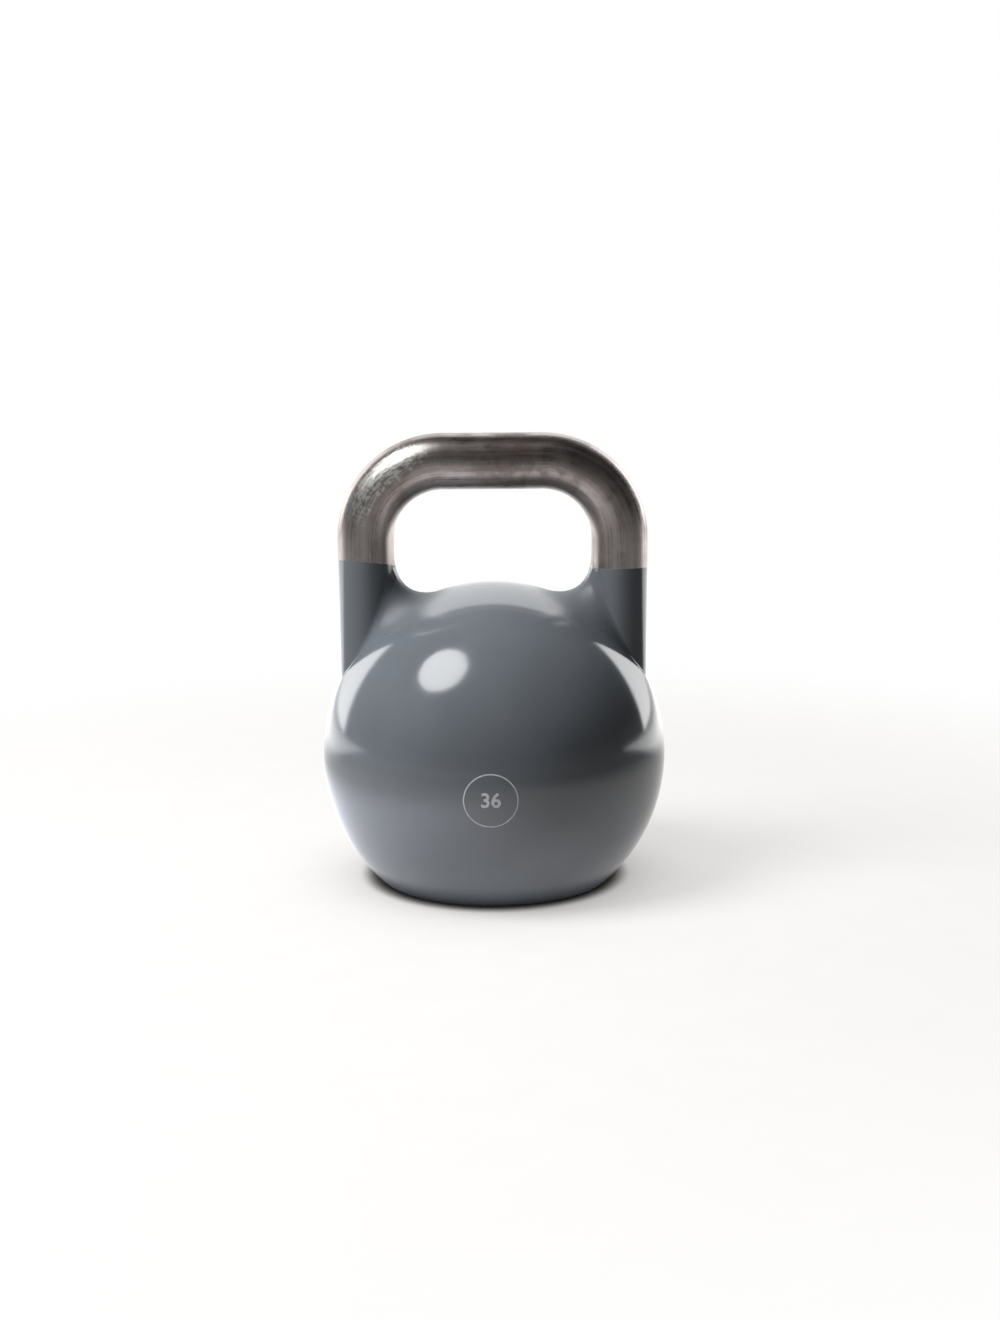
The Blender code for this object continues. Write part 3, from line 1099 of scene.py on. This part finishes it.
def paint_line_mask(tree, point, axes, line, grip):
    """One below the masked edge of the paint on each leg, nought above it."""
    wobble = product(tree, noise(tree, point, 220.0, 2.0), LINE_WOBBLE)
    is_right = calculate(tree, "GREATER_THAN", axes["X"], 0.0)
    out = distance_from_leg(tree, axes["X"], grip.leg_x)
    heights = []
    for height, slope in ((line.left_height, line.left_slope), (line.right_height, line.right_slope)):
        terms = ((out, slope[0]), (axes["Y"], -slope[1]))
        heights.append(weighted_sum(tree, *terms, start=height))
    rise = calculate(tree, "SUBTRACT", heights[1], heights[0])
    chosen = calculate(tree, "MULTIPLY_ADD", rise, is_right, heights[0])
    edge = calculate(tree, "SUBTRACT", calculate(tree, "ADD", chosen, wobble), axes["Z"])
    return spread(tree, edge, -LINE_BLUR, LINE_BLUR)


def steel_of(tree, grip):
    length, leg, bend = bar_length(grip)
    inputs = {
        "Steel Colour": (*grip.steel_colour, 1),
        "Bar Radius": grip.radius,
        "Bar Middle": length / 2,
        "Bend Start": leg,
        "Bend End": leg + bend,
    }
    return place_group(tree, "handled_steel", inputs)


PAINT_ROUGHNESS = (0.11, 0.15)
PAINT_THICKNESS = 0.00012
PAINT_IOR = 1.6
MOTTLE_SHADE = 0.9  # the darker paint's share of the paint colour
FLARE_START = 0.006  # the flare's rougher paint and its painted shade are full at this distance from the leg
FLARE_END = (0.034, 0.060)  # and fades between these distances from the leg's axis
FLARE_HEIGHTS = (0.150, 0.168)
# painted shade: share of the paint colour left on the flare where the horn meets the ball
FLARE_PAINTED_SHADE = 0.80
FLARE_ROUGHNESS = 0.42


def flare_mask(tree, axes, grip):
    """One on the part of a horn that widens, where the paint is rougher and darkened with painted shade.
    """
    out = distance_from_leg(tree, axes["X"], grip.leg_x)
    reach = level_length(tree, out, axes["Y"])
    return product(
        tree,
        spread(tree, reach, grip.radius, grip.radius + FLARE_START),
        spread(tree, reach, FLARE_END[1], FLARE_END[0]),
        spread(tree, axes["Z"], *FLARE_HEIGHTS),
    )


def paint_material(scene):
    """Gloss paint on the ball and the horns, with bare steel above the masked line."""
    ball, grip = scene.kettlebell_ball, scene.kettlebell_grip
    material, tree, shader = new_material("gloss_paint_and_bare_steel")
    point = object_point(tree)
    axes = axes_of(tree, point)
    painted = paint_line_mask(tree, point, axes, scene.kettlebell_paint_line, grip)
    bare = calculate(tree, "SUBTRACT", 1.0, painted)
    flare = flare_mask(tree, axes, grip)
    ripple = place_group(tree, "sprayed_ripple", {"Point": point})
    steel = steel_of(tree, grip)
    colour = tuple(ball.paint_colour)
    darker = tuple(MOTTLE_SHADE * channel for channel in colour)
    # painted shade darkens the paint colour on each horn's flare
    flare_painted_shade = tuple(FLARE_PAINTED_SHADE * channel for channel in colour)
    paint = mix_colours(tree, spread(tree, ripple["Mottle"], 0.3, 0.7), darker, colour)
    paint = mix_colours(tree, flare, paint, flare_painted_shade)
    gloss = spread(tree, ripple["Mottle"], 0.3, 0.7, *PAINT_ROUGHNESS)
    gloss = calculate(tree, "MULTIPLY_ADD", flare, FLARE_ROUGHNESS, gloss)
    rough = weighted_sum(tree, (bare, steel["Roughness"]), (painted, gloss))
    height = weighted_sum(tree, (bare, steel["Height"]), (painted, ripple["Height"]))
    height = calculate(tree, "MULTIPLY_ADD", painted, PAINT_THICKNESS, height)
    link(tree, mix_colours(tree, painted, steel["Colour"], paint), shader.inputs["Base Color"])
    link(tree, rough, shader.inputs["Roughness"])
    link(tree, bare, shader.inputs["Metallic"])
    add_bump(tree, shader, height)
    shader.inputs["IOR"].default_value = PAINT_IOR
    return material


def steel_material(scene):
    material, tree, shader = new_material("handled_bar_steel")
    steel = steel_of(tree, scene.kettlebell_grip)
    link(tree, steel["Colour"], shader.inputs["Base Color"])
    link(tree, steel["Roughness"], shader.inputs["Roughness"])
    add_bump(tree, shader, steel["Height"])
    shader.inputs["Metallic"].default_value = 1
    return material


def ink_material():
    material, tree, shader = new_material("printed_ink")
    grain = place_group(tree, "fine_grain", {"Scale": 900.0, "Depth": 0.000008})
    worn = spread(tree, grain["Grain"], 0.35, 0.75)
    colour = mix_colours(tree, worn, (0.56, 0.57, 0.58), (0.42, 0.43, 0.45))
    link(tree, colour, shader.inputs["Base Color"])
    link(tree, spread(tree, worn, 0, 1, 0.35, 0.5), shader.inputs["Roughness"])
    add_bump(tree, shader, grain["Height"])
    return material


RING_DEPTH = 0.00001
RING_ROUGHNESS = 0.12  # how much rougher the dark rings are


def turned_material(name, colour, roughness):
    """Steel turned on a lathe, with fine rings about Z."""
    material, tree, shader = new_material(name)
    axes = axes_of(tree, object_point(tree))
    radius = level_length(tree, axes["X"], axes["Y"])
    spot = add_node(tree, "ShaderNodeCombineXYZ", {0: radius, 2: axes["Z"]}).outputs[0]
    rings = noise(tree, spot, 2600.0, 2.0)
    grain = place_group(tree, "fine_grain", {"Scale": 260.0, "Depth": 0.00001})
    tone = weighted_sum(tree, (grain["Patches"], 0.5), (rings, 0.5))
    darker = tuple(0.6 * channel for channel in colour)
    base = mix_colours(tree, spread(tree, tone, 0.35, 0.65), darker, colour)
    link(tree, base, shader.inputs["Base Color"])
    rough = spread(tree, tone, 0.3, 0.7, roughness + RING_ROUGHNESS, roughness)
    link(tree, rough, shader.inputs["Roughness"])
    add_bump(tree, shader, calculate(tree, "MULTIPLY_ADD", rings, RING_DEPTH, grain["Height"]))
    shader.inputs["Metallic"].default_value = 1
    return material


def grained_material(name, grain_size, colours, tone, rough, metallic=0.0):
    """A material that follows the fine grain.

    Grain size is the grain's scale and depth. Tone is an output of the grain and the range over
    which it goes from the first colour to the second. Rough is an output and its two roughnesses.
    """
    material, tree, shader = new_material(name)
    scale, depth = grain_size
    grain = place_group(tree, "fine_grain", {"Scale": scale, "Depth": depth})
    share = spread(tree, grain[tone[0]], tone[1], tone[2])
    link(tree, mix_colours(tree, share, *colours), shader.inputs["Base Color"])
    roughness = spread(tree, grain[rough[0]], 0.3, 0.7, rough[1], rough[2])
    link(tree, roughness, shader.inputs["Roughness"])
    add_bump(tree, shader, grain["Height"])
    shader.inputs["Metallic"].default_value = metallic
    return material


def cast_material():
    colours = ((0.05, 0.045, 0.042), (0.13, 0.12, 0.115))
    tone = ("Clumps", 0.15, 0.35)
    rough = ("Patches", 0.55, 0.75)
    return grained_material("cast_ballast_iron", (700.0, 0.0003), colours, tone, rough, 0.8)


def resin_material():
    colours = ((0.28, 0.17, 0.07), (0.38, 0.25, 0.12))
    tone = ("Patches", 0.35, 0.65)
    rough = ("Grain", 0.25, 0.42)
    return grained_material("cured_potting_resin", (160.0, 0.00008), colours, tone, rough)


def rubber_material(name, level):
    colours = ((level,) * 3, (1.6 * level,) * 3)
    tone = ("Patches", 0.3, 0.7)
    rough = ("Grain", 0.62, 0.82)
    return grained_material(name, (1400.0, 0.00006), colours, tone, rough)


def screw_material():
    colours = ((0.03, 0.03, 0.032), (0.09, 0.088, 0.085))
    tone = ("Grain", 0.3, 0.7)
    rough = ("Grain", 0.3, 0.48)
    return grained_material("blackened_screw_steel", (1800.0, 0.00001), colours, tone, rough, 0.9)


# ---------------------------------------------------------------- the studio


FLOOR_RADIUS = 6
FLOOR_SHADES = ((0.15, 0.15, 0.15), (0.16, 0.16, 0.16))
FLOOR_CONTACT_SHADOW = (0.03, 0.025, 0.02)  # painted contact shadow: the board's colour in the tight gap beside the foot
FLOOR_SHADOW_FILL = 0.73  # light added to the board's shadows, less where it is hidden from the sky
FLOOR_SHADOW_TINT = (1, 0.98, 0.96, 1)
FLOOR_GLOSS = (0.50, 0.28)  # brightness of the far floor in front, in reflections, left and right
FLOOR_GLOSS_BEHIND = (2.6, 1.15)  # the same behind the object, near and far
FLOOR_BOUNCE = (1.9, 0.05)  # light that the near board adds to the object, at its left and right
FLOOR_BOUNCE_TINT = (0.92, 0.97, 1.12, 1)
FLOOR_FILL = 0.12  # share of the floor's light that reaches matt surfaces
SKY_REACH = 0.16
CONTACT_REACH = 0.012
BACKDROP_GLOSS = (2.6, 4.8)  # brightness of the backdrop's rim in reflections, overhead and at the sides
BACKDROP_MIDDLE = 1.3  # brightness of the backdrop's middle in reflections
ROOM_GLOSS = 0.06  # brightness of the dim room in front, in reflections
HORIZON_GLOSS = 0.2  # the pale floor beyond the board, in reflections
BACKDROP_FILL = 0.12  # the light that the backdrop gives to matt surfaces
ROOM_FILL = 0.02  # the same from the dim room
KEY_DIRECTION = (-0.54, -0.23, 0.81)
KEY_DISTANCE = 1.6
KEY_ENERGY = 53
SHEEN_DIRECTION = (-0.485, -0.24, 0.84)
SHEEN_DISTANCE = 1.5
SHEEN_ENERGY = 13.4
LIGHT_HALF_ANGLE = math.radians(14.5)
LIGHT_TARGET = Vector((0, 0, 0.1))
CAMERA_PAN = 0.0031
CAMERA_ROLL = -0.0073
WHITE = (1, 1, 1, 1)


def openness(tree, reach):
    """One where a point is open to the sky within a reach, nought where it is hidden."""
    inputs = {"Distance": reach}
    return add_node(tree, "ShaderNodeAmbientOcclusion", inputs, samples=8).outputs["AO"]


def floor_glow(tree, axes, rays):
    """The far floor: white to the camera, dim in front and bright behind in reflections."""
    front = spread(tree, axes["X"], -0.6, 0.6, *FLOOR_GLOSS)
    back = spread(tree, axes["Y"], 0.5, 1.6, *FLOOR_GLOSS_BEHIND)
    behind = spread(tree, axes["Y"], 0.22, 0.38)
    rise = calculate(tree, "SUBTRACT", back, front)
    mirrored = calculate(tree, "MULTIPLY_ADD", rise, behind, front)
    mirrored = calculate(tree, "SUBTRACT", mirrored, 1.0)
    strength = calculate(tree, "MULTIPLY_ADD", rays["Is Glossy Ray"], mirrored, 1.0)
    return add_node(tree, "ShaderNodeEmission", {"Color": WHITE, "Strength": strength})


def floor_bounce(tree, axes, distance, rays, open_sky):
    """Light that the near board throws up at the object, which the camera doesn't see."""
    bounce = product(
        tree,
        spread(tree, axes["X"], -0.20, 0.14, *FLOOR_BOUNCE),
        calculate(tree, "MULTIPLY", open_sky, open_sky),
        spread(tree, distance, 0.12, 0.36, 1.0, 0.0),
        calculate(tree, "SUBTRACT", 1.0, rays["Is Camera Ray"]),
    )
    return add_node(tree, "ShaderNodeEmission", {"Color": FLOOR_BOUNCE_TINT, "Strength": bounce})


def floor_material():
    """Matt white board with a painted contact shadow beside the foot and soft fill in its shadows,
    glowing far from the object.
    """
    material, tree, shader = new_material("studio_board")
    point = object_point(tree)
    axes = axes_of(tree, point)
    distance = length_of(tree, point)
    rays = add_node(tree, "ShaderNodeLightPath").outputs
    open_sky = openness(tree, SKY_REACH)
    # painted contact shadow: one in the open, nought in the tight gap beside the foot
    painted_contact_shadow = spread(tree, openness(tree, CONTACT_REACH), 0.20, 0.75)
    grain = place_group(tree, "fine_grain", {"Scale": 300.0, "Depth": 0.00002})
    board = mix_colours(tree, spread(tree, grain["Patches"], 0.2, 0.8), *FLOOR_SHADES)
    # the board's colour darkens to a painted shadow in the gap beside the foot
    link(tree, mix_colours(tree, painted_contact_shadow, FLOOR_CONTACT_SHADOW, board), shader.inputs["Base Color"])
    fill = product(tree, spread(tree, open_sky, 0.1, 0.85, 0.5, 1.0), painted_contact_shadow, FLOOR_SHADOW_FILL)
    link(tree, fill, shader.inputs["Emission Strength"])
    add_bump(tree, shader, grain["Height"])
    shader.inputs["Emission Color"].default_value = FLOOR_SHADOW_TINT
    shader.inputs["Roughness"].default_value = 0.9
    shader.inputs["Specular IOR Level"].default_value = 0
    glow = floor_glow(tree, axes, rays)
    lift = floor_bounce(tree, axes, distance, rays, open_sky)
    near = add_node(tree, "ShaderNodeAddShader", {0: shader.outputs[0], 1: lift.outputs[0]})
    far = spread(tree, distance, 0.28, 0.70)
    blend = add_node(tree, "ShaderNodeMixShader", {0: far, 1: near.outputs[0], 2: glow.outputs[0]})
    dark = add_node(tree, "ShaderNodeBsdfDiffuse", {"Color": (0, 0, 0, 1)})
    dim = spread(tree, distance, 0.12, 0.22, 0.0, 1 - FLOOR_FILL)
    share = product(tree, rays["Is Diffuse Ray"], dim)
    held = add_node(tree, "ShaderNodeMixShader", {0: share, 1: blend.outputs[0], 2: dark.outputs[0]})
    link(tree, held.outputs[0], tree.nodes["Material Output"].inputs["Surface"])
    return material


def build_world():
    """White to the camera; for light, a bright backdrop behind and a dim room in front."""
    world = bpy.data.worlds.new("studio_world")
    bpy.context.scene.world = world
    world.use_nodes = True
    tree = world.node_tree
    tree.nodes.clear()
    direction = add_node(tree, "ShaderNodeTexCoord").outputs["Generated"]
    axes = axes_of(tree, direction)
    to_side = calculate(tree, "ABSOLUTE", axes["X"])
    rim = spread(tree, to_side, 0.2, 0.7, *BACKDROP_GLOSS)
    rim = calculate(tree, "SUBTRACT", rim, BACKDROP_MIDDLE)
    to_rim = calculate(tree, "MULTIPLY", calculate(tree, "SUBTRACT", 1.0, axes["Y"]), 2.3, clamp=True)
    backdrop = calculate(tree, "MULTIPLY_ADD", rim, to_rim, BACKDROP_MIDDLE)
    depth = calculate(tree, "MULTIPLY_ADD", axes["Z"], -0.12, axes["Y"])
    gloss = calculate(tree, "MULTIPLY_ADD", spread(tree, depth, 0.51, 0.56), backdrop, ROOM_GLOSS)
    band = spread(tree, axes["Z"], 0.02, 0.22, HORIZON_GLOSS, 0.0)
    gloss = calculate(tree, "MAXIMUM", gloss, band)
    fill = spread(tree, axes["Y"], 0.10, 0.60, ROOM_FILL, BACKDROP_FILL)
    kind = add_node(tree, "ShaderNodeLightPath").outputs
    shine = add_node(tree, "ShaderNodeBackground", {"Color": WHITE, "Strength": gloss})
    glow = add_node(tree, "ShaderNodeBackground", {"Color": WHITE, "Strength": fill})
    seen = add_node(tree, "ShaderNodeBackground", {"Color": WHITE, "Strength": 1.0})
    inputs = {0: kind["Is Diffuse Ray"], 1: shine.outputs[0], 2: glow.outputs[0]}
    light = add_node(tree, "ShaderNodeMixShader", inputs)
    inputs = {0: kind["Is Camera Ray"], 1: light.outputs[0], 2: seen.outputs[0]}
    mixed = add_node(tree, "ShaderNodeMixShader", inputs)
    output = tree.nodes.new("ShaderNodeOutputWorld")
    link(tree, mixed.outputs[0], output.inputs["Surface"])


def add_key_light(name, direction, distance, energy, to_matt, to_gloss):
    """A round soft light high at the front left, which the camera doesn't see."""
    towards = Vector(direction).normalized()
    bpy.ops.object.light_add(type="AREA", location=towards * distance + LIGHT_TARGET)
    light = bpy.context.object
    light.name = name
    light.data.shape = "DISK"
    light.data.size = 2 * distance * math.tan(LIGHT_HALF_ANGLE)
    light.data.energy = energy
    light.rotation_euler = (-towards).to_track_quat("-Z", "Y").to_euler()
    light.visible_camera = False
    light.visible_diffuse = to_matt
    light.visible_glossy = to_gloss


def add_camera(studio):
    pitch = studio.camera_pitch
    ahead = Vector((math.sin(CAMERA_PAN), math.cos(CAMERA_PAN), 0))
    forward = ahead * math.cos(pitch) - Vector((0, 0, math.sin(pitch)))
    level = Vector((math.cos(CAMERA_PAN), -math.sin(CAMERA_PAN), 0))
    upward = level.cross(forward)
    right = math.cos(CAMERA_ROLL) * level + math.sin(CAMERA_ROLL) * upward
    up = math.cos(CAMERA_ROLL) * upward - math.sin(CAMERA_ROLL) * level
    bpy.ops.object.camera_add()
    camera = bpy.context.object
    camera.name = "studio_camera"
    turn = Matrix((right, up, -forward)).transposed().to_4x4()
    place = Matrix.Translation((0, -studio.camera_distance, studio.camera_height))
    camera.matrix_world = place @ turn
    camera.data.sensor_width = 36
    camera.data.lens = studio.camera_lens
    bpy.context.scene.camera = camera


class KETTLEBELL_OT_stage(bpy.types.Operator):
    """Lays the pale floor and adds the soft studio light and the camera"""

    bl_idname = "kettlebell.stage"
    bl_label = "Studio"

    def execute(self, context):
        deselect_all()
        bpy.ops.mesh.primitive_circle_add(vertices=96, radius=FLOOR_RADIUS, fill_type="NGON")
        floor = bpy.context.object
        floor.name = "studio_floor"
        floor.data.materials.append(floor_material())
        build_world()
        add_key_light("soft_key_light", KEY_DIRECTION, KEY_DISTANCE, KEY_ENERGY, True, False)
        add_key_light("soft_key_sheen", SHEEN_DIRECTION, SHEEN_DISTANCE, SHEEN_ENERGY, False, True)
        add_camera(context.scene.kettlebell_studio)
        context.scene.view_settings.view_transform = "Standard"
        return {"FINISHED"}


# ---------------------------------------------------------------- panel and registration


class KETTLEBELL_PT_panel(bpy.types.Panel):
    """Lists the sizes and colours, and a button for each piece"""

    bl_idname = "KETTLEBELL_PT_panel"
    bl_label = "Kettlebell"
    bl_space_type = "VIEW_3D"
    bl_region_type = "UI"
    bl_category = "Kettlebell"

    def draw(self, context):
        for name, group in PROPERTY_GROUPS.items():
            column = self.layout.column()
            for setting in group.__annotations__:
                column.prop(getattr(context.scene, name), setting)
        for operator in OPERATORS:
            self.layout.operator(operator.bl_idname)


OPERATORS = (
    KETTLEBELL_OT_ball,
    KETTLEBELL_OT_grip,
    KETTLEBELL_OT_mark,
    KETTLEBELL_OT_screws,
    KETTLEBELL_OT_inner_pieces,
    KETTLEBELL_OT_stage,
)
CLASSES = (*PROPERTY_GROUPS.values(), *OPERATORS, KETTLEBELL_PT_panel)


def register():
    for cls in CLASSES:
        bpy.utils.register_class(cls)
    for name, group in PROPERTY_GROUPS.items():
        setattr(bpy.types.Scene, name, PointerProperty(type=group))


def unregister():
    for name in PROPERTY_GROUPS:
        delattr(bpy.types.Scene, name)
    for cls in reversed(CLASSES):
        bpy.utils.unregister_class(cls)


def main():
    register()
    build_ripple_group()
    build_steel_group()
    build_grain_group()
    bpy.ops.kettlebell.ball()
    bpy.ops.kettlebell.grip()
    bpy.ops.kettlebell.mark()
    bpy.ops.kettlebell.screws()
    bpy.ops.kettlebell.inner_pieces()
    bpy.ops.kettlebell.stage()


if __name__ == "__main__":
    main()
